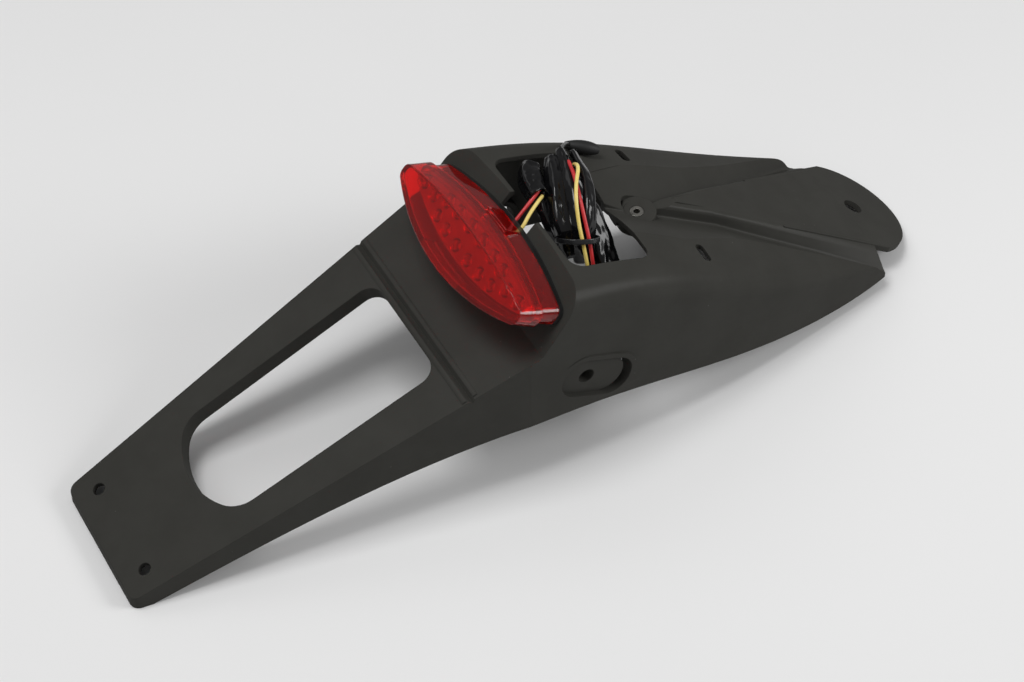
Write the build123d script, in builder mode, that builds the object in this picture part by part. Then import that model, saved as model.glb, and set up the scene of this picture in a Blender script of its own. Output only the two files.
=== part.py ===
"""Tail tidy for a motorbike: moulded plate holder with a red LED tail lamp and its wiring.

Millimetres, +Z up, lying as it rests: on the plate end and on the tip of the nose tongue.
X runs from the plate end to the tongue, Y across, and the origin is the middle of the footprint.
"""
import os
from math import atan2, cos, degrees, radians, sin, sqrt, tan

from build123d import *

os.makedirs("parts", exist_ok=True)

# Moulded body: a run is a distance along X from the plate end
LENGTH = 465.5
WALL = 3.0
PLATE_SLOPE = 21.0
PLATE_END_WIDTH = 78.0
PLATE_END_HEIGHT = 6.7
CREASE_RUN = 211.5
CREASE_WIDTH = 125.4
SIDE_DRAFT = 0.03
PLATE_CORNER = 5.0

# Plate screw holes
PLATE_HOLE_DIAMETER = 6.5
PLATE_HOLE_SPACING = 55.0
PLATE_HOLE_INSET = 13.0

# Cut-out in the plate arm, measured along the slope of the plate
CUTOUT_START = 54.0
CUTOUT_LENGTH = 128.0
CUTOUT_NARROW_WIDTH = 62.0
CUTOUT_WIDE_WIDTH = 66.5
CUTOUT_ROUND_RISE = 13.0
CUTOUT_CORNER = 9.0
CUTOUT_ROUND_CORNER = 17.0
RIM_DEPTH = 9.0
RIM_WALL = 2.6

# Score groove across the plate, measured along the slope of the plate
GROOVE_PLACE = 187.0
GROOVE_WIDTH = 3.4
GROOVE_DEPTH = 1.6
LIP_RADIUS = 1.2

# Hood front face, roof and nose
FACE_LEAN = 0.84
RIM_HEIGHT = 117.0
RIM_BOW = 6.0
ROOF_SLOPE = 19.0
NOSE_BEND = 303.5
NOSE_END = LENGTH - 34.5
ROOF_FLAT = 20.0

# Nose tongue and the valleys beside it
TONGUE_THICKNESS = 3.2
TONGUE_WIDTH = 69.4
TONGUE_START = 304.8
TONGUE_DROP = 0.15
TONGUE_HOLE_DIAMETER = 10.5
TONGUE_HOLE_RUN = LENGTH - 25.5
VALLEY_START = 278.0
VALLEY_WIDTH = 20.0
CREASE_BLEND = 3.0
RIB_WIDTH = 19.0
RIB_DEPTH = 13.5

# Access opening in the roof and wire notch in its rim
OPENING_START = 240.3
OPENING_END = 284.5
OPENING_WIDTH = 82.0
OPENING_CORNER = 7.0
NOTCH_WIDTH = 24.0
NOTCH_OFFSET = 4.5
NOTCH_DEPTH = 14.0

# Indicator seats on the two sides, each with a crescent slot at one end
SEAT_RUN = 236.5
SEAT_HEIGHT = 58.5
SEAT_FACE = 61.0
SEAT_RADIUS = 11.5
SEAT_LONG = 18.5
SEAT_SHIFT = 5.75
SEAT_TILT = 24.0
SEAT_PAD = 54.0
SEAT_HOLE_DIAMETER = 8.5
CRESCENT_WIDTH = 4.5

# Threaded insert in a dish on the landing behind the opening
INSERT_RUN = 301.0
INSERT_RADIUS = 2.8
INSERT_BORE_DIAMETER = 3.3
INSERT_FLANGE_RADIUS = 3.5
INSERT_FLANGE = 1.0
INSERT_LENGTH = 8.0
INSERT_HEIGHT = 85.2
DISH_RADIUS = 7.0
LANDING_SLOPE = 9.0
LANDING_LENGTH = 40.0
LANDING_WIDTH = 20.0

# Louvre slots across the shoulders of the nose
SLOT_RUN = 316.0
SLOT_PLACE = 38.7
SLOT_LENGTH = 11.0
SLOT_WIDTH = 4.5

# Lamp on the hood's front face: half-width, ends from low to high, middle from low to high
LAMP_BACK_OUTLINE = (59.0, 14.0, 24.6, -0.5, 34.0)
LAMP_FRONT_OUTLINE = (56.6, 10.3, 16.4, -2.0, 25.4)
LAMP_CORNER = 0.6
LAMP_BASE_TOP = 3.5
LENS_STEP = 14.0
LENS_FRONT = 30.4
LENS_WALL = 2.4
LENS_STEP_INSET = 2.0
LENS_BOW_RADIUS = 400.0
LENS_TAB_WIDTH = 18.0
LAMP_CLEARANCE = 0.8
GASKET_THICKNESS = 1.2
GASKET_WIDTH = 5.0
BOARD_BACK = 12.8
BOARD_THICKNESS = 1.6
REFLECTOR_THICKNESS = 5.0
CUP_RADIUS = 3.6
CUP_FLOOR_RADIUS = 2.4
EMITTER_RADIUS = 1.9
WINDOW_WIDTH = 34.0
WINDOW_START = 20.5
WINDOW_LENGTH = 7.0
# Lamp screws, driven from inside the hood
SCREW_PLACE = 40.0
SCREW_RISE = 18.0
SCREW_SEAT = 6.0
SCREW_RADIUS = 2.0
SCREW_HEAD_RADIUS = 3.8
SCREW_HEAD_HEIGHT = 2.8
SCREW_PAD_RADIUS = 7.0
WASHER_THICKNESS = 1.0
WASHER_RADIUS = 5.2
# Places of the emitters across and up the lamp's face, the same on both sides
EMITTER_ROWS = (
    (5.5, 8.9),
    (5.5, 20.8),
    (16.5, 9.6),
    (16.5, 20.2),
    (26.0, 10.6),
    (26.0, 19.4),
    (35.5, 15.5),
    (45.0, 16.1),
)
EMITTERS = [
    (side * across, up)
    for side in (-1, 1)
    for across, up in EMITTER_ROWS
]

# Wiring: points as run, Y and height
WIRE_DIAMETER = 1.9
RED_LAMP_ROUTE = ((219.0, 0.6, 100.0), (239.7, 4.2, 115.2), (250.5, 9.5, 118.2))
YELLOW_LAMP_ROUTE = ((219.0, -5.5, 100.0), (232.5, -3.6, 109.8), (240.5, 1.0, 115.6), (250.5, 7.0, 115.6))
RED_TAIL_ROUTE = (
    (270.5, 16.6, 121.0),
    (268.6, 9.6, 123.2),
    (264.2, -4.6, 120.2),
    (261.6, -14.0, 114.4),
    (260.1, -23.0, 104.1),
    (258.0, -30.0, 94.0),
    (260.5, -33.0, 74.0),
)
YELLOW_TAIL_ROUTE = (
    (272.5, 14.6, 119.5),
    (272.0, 8.6, 126.6),
    (262.2, -4.0, 124.8),
    (257.6, -14.8, 115.4),
    (256.3, -23.0, 105.1),
    (255.0, -30.5, 94.0),
    (257.0, -33.0, 74.0),
)
BOOT_LEAD_ROUTE = ((269.5, 23.5, 118.5), (279.0, 37.5, 113.0), (287.0, 43.0, 101.4))
# Loom bundles: run, Y and height of a section's middle, then its half-sizes
BUNDLE_SIDE = (0.87, -0.49, 0.0)
HANK_SECTIONS = (
    (257.0, -24.0, 90.0, 7.5, 6.0),
    (257.0, -16.0, 103.0, 9.0, 7.0),
    (264.0, 3.0, 114.0, 12.5, 9.0),
    (271.0, 20.0, 119.0, 9.0, 7.0),
    (274.0, 29.0, 120.0, 3.0, 2.5),
)
SLEEVE_SECTIONS = (
    (249.0, 6.5, 116.5, 5.5, 6.0),
    (249.5, 22.0, 115.5, 7.5, 6.5),
    (254.0, 33.0, 107.0, 6.0, 6.0),
)
BOOT_SECTIONS = (
    (284.5, 43.8, 102.0, 1.6, 1.6),
    (289.0, 41.6, 100.8, 3.0, 3.0),
    (297.0, 37.6, 98.2, 3.2, 3.2),
    (300.0, 36.2, 97.2, 2.0, 2.0),
)
TIE_WIDTH = 2.6
TIE_THICKNESS = 1.3
TIE_HEAD = 4.6

REACH = 100.0
FOOT = (Align.CENTER, Align.CENTER, Align.MIN)
HEAD = (Align.CENTER, Align.CENTER, Align.MAX)
CLEAR = 0.2


def station(run):
    """Model X of a place that lies run millimetres from the plate end."""
    return run - LENGTH / 2


def plate_height(run):
    """Height of the top of the plate."""
    return PLATE_END_HEIGHT + tan(radians(PLATE_SLOPE)) * run


def hood_height(run):
    """Height of the straight line of the hood's roof."""
    rim_run = CREASE_RUN + FACE_LEAN * (RIM_HEIGHT - plate_height(CREASE_RUN))
    return RIM_HEIGHT - tan(radians(ROOF_SLOPE)) * (run - rim_run)


# Slope of the nose, from the bend in the roof to the tip of the tongue
NOSE_SLOPE = degrees(atan2(hood_height(NOSE_BEND) - TONGUE_THICKNESS, LENGTH - NOSE_BEND))


def tongue_height(run):
    """Height of the top of the tongue, whose tip rests on the floor."""
    tip = TONGUE_THICKNESS * cos(radians(NOSE_SLOPE))
    return tip + tan(radians(NOSE_SLOPE)) * (LENGTH - run)


def nose_run(share):
    """Run of a place on the nose, as a share of the way from the bend to the nose's end."""
    return NOSE_BEND + share * (NOSE_END - NOSE_BEND)


def roof_height(run):
    """Height of the roof: the hood line, and past its bend a line just over the tongue."""
    return min(hood_height(run), tongue_height(run) + TONGUE_DROP)


def plate_half_width(run):
    """Half-width of the plate at its top edge."""
    taper = (CREASE_WIDTH - PLATE_END_WIDTH) / 2 / CREASE_RUN
    return PLATE_END_WIDTH / 2 + taper * run


def tongue_half_width(run):
    """Half-width of the tongue, which grows from nothing to its full width at the hole."""
    return TONGUE_WIDTH / 2 * (run - TONGUE_START) / (TONGUE_HOLE_RUN - TONGUE_START)


# Cross-sections of hood and nose: run, half-width at the roof, half-width at the foot, fall of
# the roof towards its sides, shoulder
ARM_RUNS = (0.0, 205.0)
HOOD_SECTIONS = (
    (240.0, 59.5, 66.0, 0.8, 14.0),
    (284.0, 57.2, 65.8, 2.0, 15.0),
    (nose_run(0.255), 55.6, 61.0, 6.5, 15.0),
    (nose_run(0.49), 53.4, 56.2, 7.0, 13.0),
    (nose_run(0.757), 49.2, 50.4, 6.0, 8.0),
    (NOSE_END, 44.0, 45.0, 3.0, 3.5),
)
FALL, SHOULDER = HOOD_SECTIONS[0][3:]

# Sections of the valleys: run, depth under the roof, width of the wall beside the tongue
VALLEY_ROWS = (
    (VALLEY_START, 8.3, 1.0),
    (nose_run(0.3), 8.5, 2.2),
    (nose_run(0.741), 10.6, 8.6),
    (TONGUE_HOLE_RUN, 13.0, 14.5),
)

# Lower edge of the side walls: run and height, an arch between the two ends that rest
LOWER_EDGE = (
    (10.0, 0.0),
    (91.0, 24.0),
    (173.0, 39.3),
    (205.0, 41.0),
    (240.0, 39.0),
    (nose_run(0.255), 18.5),
    (nose_run(0.757), 7.3),
    (NOSE_END + 5, 9.2),
)


def section_face(run, roof_half, foot_half, fall, radius, inset):
    """One cross-section of the body, drawn smaller by the inset for the hollow inside."""
    top = roof_height(run) - inset
    flat = max(ROOF_FLAT, tongue_half_width(run) + CREASE_BLEND)
    with BuildSketch(Plane.YZ.offset(station(run))) as section:
        with BuildLine():
            Polyline(
                (inset - foot_half, -inset),
                (inset - roof_half, top - fall),
                (-flat, top),
                (flat, top),
                (roof_half - inset, top - fall),
                (foot_half - inset, -inset),
                close=True,
            )
        make_face()
        shoulders = section.vertices().group_by(Axis.Y)[-2]
        fillet(shoulders, max(radius - inset, 1.5))
    return section.sketch


def arm_faces(inset):
    """Cross-sections of the straight plate arm, at the plate end and where the hood begins."""
    faces = []
    for run in ARM_RUNS:
        edge = plate_half_width(run)
        lean = SIDE_DRAFT * (roof_height(run) - plate_height(run))
        foot = edge + SIDE_DRAFT * plate_height(run)
        faces.append(section_face(run, edge - lean, foot, FALL, SHOULDER, inset))
    return faces


def hood_faces(inset):
    """Cross-sections of hood and nose, the first of them shared with the plate arm."""
    faces = arm_faces(inset)[-1:]
    for row in HOOD_SECTIONS:
        faces.append(section_face(*row, inset))
    return faces


def ahead_sections(shift):
    """Two level sections of the space ahead of the hood's bowed front face, to loft between."""
    crease_height = plate_height(CREASE_RUN)
    half = CREASE_WIDTH / 2 + 5
    sections = []
    for height in (crease_height - REACH, crease_height + 1.5 * REACH):
        rise = height - crease_height
        bow = RIM_BOW * rise / (RIM_HEIGHT - crease_height)
        middle = station(CREASE_RUN) + FACE_LEAN * rise + bow / 2 + shift
        side = middle - bow
        with BuildSketch(Plane.XY.offset(height)) as section:
            with BuildLine():
                ThreePointArc((side, -half), (middle, 0), (side, half))
                Polyline((side, half), (-LENGTH, half), (-LENGTH, -half), (side, -half))
            make_face()
        sections.append(section.sketch)
    return sections


def above_plate(drop):
    """Side view of the space above the plate, or above its underside."""
    with BuildSketch(Plane.XZ) as side_view:
        with BuildLine():
            Polyline(
                (station(-REACH), plate_height(-REACH) - drop),
                (station(LENGTH), plate_height(LENGTH) - drop),
                (station(LENGTH), LENGTH),
                (station(-REACH), LENGTH),
                close=True,
            )
        make_face()
    return side_view.sketch


def valley_sections(side, thickness):
    """Sections of one valley beside the tongue, or of that valley with its wall around it."""
    sections = []
    for run, depth, wall in VALLEY_ROWS:
        crease = tongue_half_width(run) - thickness
        outer = crease + VALLEY_WIDTH + 2 * thickness
        top = roof_height(run) - thickness
        blend = (crease - CREASE_BLEND, top + 0.3)
        brow = (crease, top - 0.2)
        upper_wall = (crease + 0.3 * wall, top - 0.3 * depth)
        lower_wall = (crease + 0.75 * wall, top - 0.75 * depth)
        bottom = (crease + wall, top - depth)
        shoulder = (outer - 4, top - 1.5)
        floor = tuple(0.75 * a + 0.25 * b for a, b in zip(bottom, shoulder))
        rim = (outer + 8, top + 0.5)
        path = [blend, brow, upper_wall, lower_wall, bottom, floor, shoulder, rim]
        path = [(side * across, height) for across, height in path]
        with BuildSketch(Plane.YZ.offset(station(run))) as section:
            with BuildLine():
                Bezier(*path[0:3])
                Line(path[2], path[3])
                Bezier(*path[3:6])
                Bezier(*path[5:8])
                over = top + REACH
                Polyline(path[7], (path[7][0], over), (path[0][0], over), path[0])
            make_face()
        sections.append(section.sketch)
    return sections


# Planes of the plate and of the tongue: local X runs along the slope, local Z is the normal
plate_plane = Plane(
    origin=(station(0), 0, plate_height(0)),
    x_dir=(cos(radians(PLATE_SLOPE)), 0, sin(radians(PLATE_SLOPE))),
    z_dir=(-sin(radians(PLATE_SLOPE)), 0, cos(radians(PLATE_SLOPE))),
)
tongue_plane = Plane(
    origin=(station(TONGUE_HOLE_RUN), 0, tongue_height(TONGUE_HOLE_RUN)),
    x_dir=(cos(radians(NOSE_SLOPE)), 0, -sin(radians(NOSE_SLOPE))),
    z_dir=(sin(radians(NOSE_SLOPE)), 0, cos(radians(NOSE_SLOPE))),
)

landing_plane = Plane(
    origin=(station(INSERT_RUN), 0, INSERT_HEIGHT),
    x_dir=(cos(radians(LANDING_SLOPE)), 0, -sin(radians(LANDING_SLOPE))),
    z_dir=(sin(radians(LANDING_SLOPE)), 0, cos(radians(LANDING_SLOPE))),
)
groove_plane = Plane(
    origin=plate_plane.from_local_coords((GROOVE_PLACE, 0, 0)),
    x_dir=plate_plane.x_dir,
    z_dir=(0, -1, 0),
)
# Plane of the hood's front face: local X runs across, local Y up the face, local Z outward
lamp_plane = Plane(
    origin=(station(CREASE_RUN), 0, plate_height(CREASE_RUN)),
    x_dir=(0, -1, 0),
    z_dir=(-1, 0, FACE_LEAN),
)


def cutout_outline(grow):
    """Outline of the plate cut-out, or of the rim wall around it."""
    round_end = CUTOUT_START + CUTOUT_ROUND_RISE
    wide_end = CUTOUT_START + CUTOUT_LENGTH
    narrow = CUTOUT_NARROW_WIDTH / 2
    wide = CUTOUT_WIDE_WIDTH / 2
    with BuildSketch(plate_plane) as outline:
        with BuildLine():
            ThreePointArc((round_end, narrow), (CUTOUT_START, 0), (round_end, -narrow))
            Polyline((round_end, -narrow), (wide_end, -wide), (wide_end, wide), (round_end, narrow))
        make_face()
        fillet(outline.vertices().group_by(Axis.X)[0], CUTOUT_ROUND_CORNER)
        fillet(outline.vertices().group_by(Axis.X)[-1], CUTOUT_CORNER)
        if grow:
            offset(amount=grow)
    return outline.sketch


# Space above the plate and ahead of the hood, and the same space with the wall around it
with BuildPart() as outside_space:
    loft(ahead_sections(0), ruled=True)
    extrude(above_plate(0), amount=REACH, both=True, mode=Mode.INTERSECT)

with BuildPart() as walled_space:
    loft(ahead_sections(WALL * sqrt(1 + FACE_LEAN**2)), ruled=True)
    plate_drop = WALL / cos(radians(PLATE_SLOPE))
    extrude(above_plate(plate_drop), amount=REACH, both=True, mode=Mode.INTERSECT)

# Hollow of the body, open underneath and at the nose
with BuildPart() as hollow:
    loft(arm_faces(WALL), ruled=True)
    loft(hood_faces(WALL))
    add(walled_space.part, mode=Mode.SUBTRACT)
    for side in (-1, 1):
        loft(valley_sections(side, WALL), ruled=True, mode=Mode.SUBTRACT)
    # Rib under the fork of the tongue
    with BuildSketch(Plane.XZ):
        with BuildLine():
            rib = [(station(run), roof_height(run) - RIB_DEPTH) for run in (INSERT_RUN, nose_run(0.24))]
            Polyline(*rib, (rib[1][0], REACH), (rib[0][0], REACH), close=True)
        make_face()
    extrude(amount=RIB_WIDTH / 2, both=True, mode=Mode.SUBTRACT)
    with Locations((station(0), 0, 0)):
        Box(2 * WALL, LENGTH, LENGTH, mode=Mode.SUBTRACT)

with BuildPart() as tail_body:
    loft(arm_faces(0), ruled=True)
    loft(hood_faces(0))
    add(outside_space.part, mode=Mode.SUBTRACT)
    end_edges = tail_body.edges().group_by(Axis.X)[0]
    fillet([edge for edge in end_edges if edge.bounding_box().size.Y < PLATE_CORNER], PLATE_CORNER)
    for side in (-1, 1):
        loft(valley_sections(side, 0), ruled=True, mode=Mode.SUBTRACT)
    add(hollow.part, mode=Mode.SUBTRACT)
    with BuildSketch(Plane.XZ) as arch:
        with BuildLine():
            points = [(station(run), height) for run, height in LOWER_EDGE]
            Spline(*points)
            Polyline(points[-1], (points[-1][0], -REACH), (points[0][0], -REACH), points[0])
        make_face()
    extrude(amount=REACH, both=True, mode=Mode.SUBTRACT)
    # Tongue plate with its round tip and fixing hole
    with BuildSketch(tongue_plane) as tongue:
        blunt = nose_run(0.6)
        start = (blunt - TONGUE_HOLE_RUN) / cos(radians(NOSE_SLOPE))
        tip = (LENGTH - TONGUE_HOLE_RUN) / cos(radians(NOSE_SLOPE))
        with BuildLine():
            ThreePointArc((0, -TONGUE_WIDTH / 2), (tip, 0), (0, TONGUE_WIDTH / 2))
            Polyline(
                (0, TONGUE_WIDTH / 2),
                (start, tongue_half_width(blunt)),
                (start, -tongue_half_width(blunt)),
                (0, -TONGUE_WIDTH / 2),
            )
        make_face()
    extrude(amount=-TONGUE_THICKNESS)
    with Locations(tongue_plane):
        Cylinder(TONGUE_HOLE_DIAMETER / 2, 4 * TONGUE_THICKNESS, mode=Mode.SUBTRACT)
    # Cut-out in the plate with a rim wall turned down around it
    extrude(cutout_outline(RIM_WALL), amount=-RIM_DEPTH)
    extrude(cutout_outline(0), amount=2 * RIM_DEPTH, both=True, mode=Mode.SUBTRACT)
    # Plate screw holes
    with Locations(plate_plane):
        with Locations(*[(PLATE_HOLE_INSET, side * PLATE_HOLE_SPACING / 2) for side in (-1, 1)]):
            Cylinder(PLATE_HOLE_DIAMETER / 2, 4 * WALL, mode=Mode.SUBTRACT)
    # Score groove between two raised lips
    with BuildSketch(groove_plane):
        with Locations((GROOVE_WIDTH / 2 + LIP_RADIUS, 0), (-GROOVE_WIDTH / 2 - LIP_RADIUS, 0)):
            Ellipse(LIP_RADIUS + 0.4, LIP_RADIUS / 2)
    extrude(amount=plate_half_width(GROOVE_PLACE * cos(radians(PLATE_SLOPE))) - 1.5, both=True)
    with BuildSketch(groove_plane):
        with BuildLine():
            Polyline(
                (-GROOVE_WIDTH / 2, GROOVE_DEPTH),
                (-GROOVE_WIDTH / 2, 0),
                (0, -GROOVE_DEPTH),
                (GROOVE_WIDTH / 2, 0),
                (GROOVE_WIDTH / 2, GROOVE_DEPTH),
                close=True,
            )
        make_face()
    extrude(amount=REACH, both=True, mode=Mode.SUBTRACT)
    # Landing behind the opening, boss and dish for the threaded insert
    with BuildSketch(landing_plane):
        with Locations((LANDING_LENGTH / 2 - DISH_RADIUS, 0)):
            RectangleRounded(LANDING_LENGTH, LANDING_WIDTH, DISH_RADIUS)
    extrude(amount=REACH / 4, mode=Mode.SUBTRACT)
    insert_base = INSERT_HEIGHT - INSERT_LENGTH
    with Locations((station(INSERT_RUN), 0, insert_base)):
        Cylinder(DISH_RADIUS + WALL, INSERT_LENGTH, align=FOOT)
        Cylinder(INSERT_RADIUS, REACH, mode=Mode.SUBTRACT)
    with Locations((station(INSERT_RUN), 0, INSERT_HEIGHT)):
        Cylinder(DISH_RADIUS, REACH / 4, align=FOOT, mode=Mode.SUBTRACT)
        Cylinder(INSERT_FLANGE_RADIUS + CLEAR, 2 * INSERT_FLANGE, mode=Mode.SUBTRACT)
    # Access opening in the roof and wire notch in its rim
    with BuildSketch(Plane.XY.offset(plate_height(CREASE_RUN))):
        with Locations((station((OPENING_START + OPENING_END) / 2), 0)):
            RectangleRounded(OPENING_END - OPENING_START, OPENING_WIDTH, OPENING_CORNER)
    extrude(amount=REACH, mode=Mode.SUBTRACT)
    with Locations((station(OPENING_START), NOTCH_OFFSET, RIM_HEIGHT - NOTCH_DEPTH)):
        Box(
            OPENING_START - CREASE_RUN,
            NOTCH_WIDTH,
            REACH,
            align=FOOT,
            mode=Mode.SUBTRACT,
        )
    # Louvre slots
    with BuildSketch(Plane.XY.offset(INSERT_HEIGHT - INSERT_LENGTH)):
        with Locations(*[(station(SLOT_RUN), side * SLOT_PLACE) for side in (-1, 1)]):
            SlotOverall(SLOT_LENGTH, SLOT_WIDTH, rotation=90)
    extrude(amount=REACH, mode=Mode.SUBTRACT)
    # Indicator seats: pad inside, flat oval seat outside, crescent slot at its end, stem hole
    for side in (-1, 1):
        pad_plane = Plane(
            origin=(station(SEAT_RUN), side * SEAT_PAD, SEAT_HEIGHT),
            x_dir=(cos(radians(SEAT_TILT)), 0, -sin(radians(SEAT_TILT))),
            z_dir=(0, side, 0),
        )
        with BuildSketch(pad_plane):
            with Locations((SEAT_SHIFT, 0)):
                SlotCenterToCenter(SEAT_LONG, 2 * (SEAT_RADIUS + WALL))
        extrude(amount=SEAT_FACE - SEAT_PAD + WALL / 2)
        with BuildSketch(pad_plane.offset(SEAT_FACE - SEAT_PAD)):
            with Locations((SEAT_SHIFT, 0)):
                SlotCenterToCenter(SEAT_LONG, 2 * SEAT_RADIUS)
        extrude(amount=REACH / 4, mode=Mode.SUBTRACT)
        with BuildSketch(pad_plane.offset(-WALL)):
            with Locations((SEAT_SHIFT + SEAT_LONG / 2, 0)):
                Circle(SEAT_RADIUS)
            with Locations((SEAT_SHIFT + SEAT_LONG / 2 - CRESCENT_WIDTH, 0)):
                Circle(SEAT_RADIUS, mode=Mode.SUBTRACT)
        extrude(amount=REACH / 4, mode=Mode.SUBTRACT)
        with Locations(pad_plane):
            Cylinder(SEAT_HOLE_DIAMETER / 2, REACH / 2, mode=Mode.SUBTRACT)
    # Flat pads and holes behind the lamp for its two screws
    for side in (-1, 1):
        with Locations(lamp_plane):
            with Locations((side * SCREW_PLACE, SCREW_RISE, -SCREW_SEAT)):
                Cylinder(SCREW_PAD_RADIUS, SCREW_SEAT - WALL / 2, align=FOOT)
                Cylinder(SCREW_RADIUS + 0.4, 4 * SCREW_SEAT, mode=Mode.SUBTRACT)

tail_body.part.label = "tail_body"
export_step(tail_body.part, "parts/tail_body.step")


def lamp_outline(depth, inset):
    """Almond outline of the lamp at one distance from the hood, made smaller by the inset."""
    share = (depth - LAMP_BASE_TOP) / (LENS_FRONT - LAMP_BASE_TOP)
    pairs = zip(LAMP_BACK_OUTLINE, LAMP_FRONT_OUTLINE)
    half, end_low, end_high, low, high = [a + share * (b - a) for a, b in pairs]
    half -= inset
    pinch = min(inset / 2, 0.4 * (end_high - end_low))
    with BuildSketch(lamp_plane.offset(depth)) as outline:
        with BuildLine():
            left_low = (-half, end_low + pinch)
            left_high = (-half, end_high - pinch)
            right_low = (half, end_low + pinch)
            right_high = (half, end_high - pinch)
            ThreePointArc(left_low, (0, low + inset), right_low)
            Line(right_low, right_high)
            ThreePointArc(right_high, (0, high - inset), left_high)
            Line(left_high, left_low)
        make_face()
        fillet(outline.vertices(), LAMP_CORNER * (end_high - end_low - 2 * pinch))
    return outline.sketch


def lens_front(thickness):
    """Round space under the lens's bowed front face, or under the inside of that face."""
    across = Plane(origin=lamp_plane.origin, x_dir=lamp_plane.x_dir, z_dir=lamp_plane.y_dir)
    with BuildSketch(across) as disc:
        with Locations((0, LENS_BOW_RADIUS - LENS_FRONT)):
            Circle(LENS_BOW_RADIUS - thickness)
    return disc.sketch


def lamp_box(centre, size):
    """A block in the lamp's own directions: across, up the face and outward."""
    with BuildPart(lamp_plane) as block:
        with Locations(centre):
            Box(*size)
    return block.part


# Hollow of the lens: a narrow part behind the step, a wide part in front of it
with BuildPart() as lens_hollow:
    rear_inset = LENS_STEP_INSET + LENS_WALL
    inner_step = LENS_STEP + LENS_WALL
    loft([lamp_outline(LAMP_BASE_TOP - 1, rear_inset), lamp_outline(inner_step, rear_inset)], ruled=True)
    loft([lamp_outline(inner_step, LENS_WALL), lamp_outline(LENS_FRONT, LENS_WALL)], ruled=True)
    extrude(lens_front(LENS_WALL), amount=REACH, both=True, mode=Mode.INTERSECT)

# Red lens: almond body, stepped flange behind it, tab that bridges the step at the top
with BuildPart() as lamp_lens:
    loft([lamp_outline(LENS_STEP, 0), lamp_outline(LENS_FRONT, 0)], ruled=True)
    flange = [lamp_outline(depth, LENS_STEP_INSET) for depth in (LAMP_BASE_TOP, LENS_STEP)]
    loft(flange, ruled=True)
    tab_top = LAMP_BACK_OUTLINE[4] - 1.8
    tab_depth = LENS_STEP - LAMP_BASE_TOP
    add(lamp_box((0, tab_top - 3, LAMP_BASE_TOP + tab_depth / 2), (LENS_TAB_WIDTH, 6, tab_depth)))
    extrude(lens_front(0), amount=REACH, both=True, mode=Mode.INTERSECT)
    add(lens_hollow.part, mode=Mode.SUBTRACT)

# Clear window in the underside of the lens, for the light on the number plate
window_middle = (0, 0, WINDOW_START + WINDOW_LENGTH / 2)
with BuildPart() as plate_light_window:
    add(lamp_lens.part)
    add(lamp_box(window_middle, (WINDOW_WIDTH - CLEAR, 16, WINDOW_LENGTH - CLEAR)), mode=Mode.INTERSECT)
plate_light_window.part.label = "plate_light_window"
export_step(plate_light_window.part, "parts/plate_light_window.step")

with BuildPart() as lamp_lens_cut:
    add(lamp_lens.part)
    add(lamp_box(window_middle, (WINDOW_WIDTH, 16, WINDOW_LENGTH)), mode=Mode.SUBTRACT)
lamp_lens_cut.part.label = "lamp_lens"
export_step(lamp_lens_cut.part, "parts/lamp_lens.step")

# Gasket and base fill the gap to the bowed face of the hood
face_gap = GASKET_THICKNESS * sqrt(1 + FACE_LEAN**2)
base_depth = LAMP_BASE_TOP + 2 * RIM_BOW
with BuildPart() as lamp_gasket:
    gasket_inside = LENS_STEP_INSET + GASKET_WIDTH
    extrude(lamp_outline(LAMP_BASE_TOP, LENS_STEP_INSET), amount=-base_depth)
    extrude(lamp_outline(LAMP_BASE_TOP, gasket_inside), amount=-base_depth, mode=Mode.SUBTRACT)
    loft(ahead_sections(0), ruled=True, mode=Mode.INTERSECT)
    loft(ahead_sections(-face_gap), ruled=True, mode=Mode.SUBTRACT)
screw_places = [(side * SCREW_PLACE, SCREW_RISE, 0) for side in (-1, 1)]
with BuildPart() as lamp_base:
    extrude(lamp_outline(LAMP_BASE_TOP, LENS_STEP_INSET), amount=-base_depth)
    loft(ahead_sections(-face_gap), ruled=True, mode=Mode.INTERSECT)
    with Locations(lamp_plane):
        with Locations(*screw_places):
            boss = BOARD_BACK - GASKET_THICKNESS
            with Locations((0, 0, GASKET_THICKNESS)):
                Cylinder(2 * SCREW_RADIUS, boss, align=FOOT)
            Cylinder(SCREW_RADIUS + 0.05, 2 * BOARD_BACK - 4, mode=Mode.SUBTRACT)

with BuildPart(lamp_plane) as lamp_screws:
    with Locations(*screw_places):
        with Locations((0, 0, -SCREW_SEAT - WASHER_THICKNESS)):
            Cylinder(SCREW_RADIUS, SCREW_SEAT + BOARD_BACK - 3, align=FOOT)
            Cylinder(SCREW_HEAD_RADIUS, SCREW_HEAD_HEIGHT, align=HEAD)
        with Locations((0, 0, -SCREW_SEAT - WASHER_THICKNESS - SCREW_HEAD_HEIGHT)):
            for turn in (0, 90):
                Box(0.6 * SCREW_HEAD_RADIUS * 2, 0.9, 2, rotation=(0, 0, turn), mode=Mode.SUBTRACT)
lamp_screws.part.label = "lamp_screws"
export_step(lamp_screws.part, "parts/lamp_screws.step")

with BuildPart(lamp_plane) as lamp_washers:
    with Locations(*screw_places):
        with Locations((0, 0, -SCREW_SEAT)):
            Cylinder(WASHER_RADIUS, WASHER_THICKNESS, align=HEAD)
            Cylinder(SCREW_RADIUS + 0.1, 4 * WASHER_THICKNESS, mode=Mode.SUBTRACT)
lamp_washers.part.label = "lamp_washers"
export_step(lamp_washers.part, "parts/lamp_washers.step")

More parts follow.
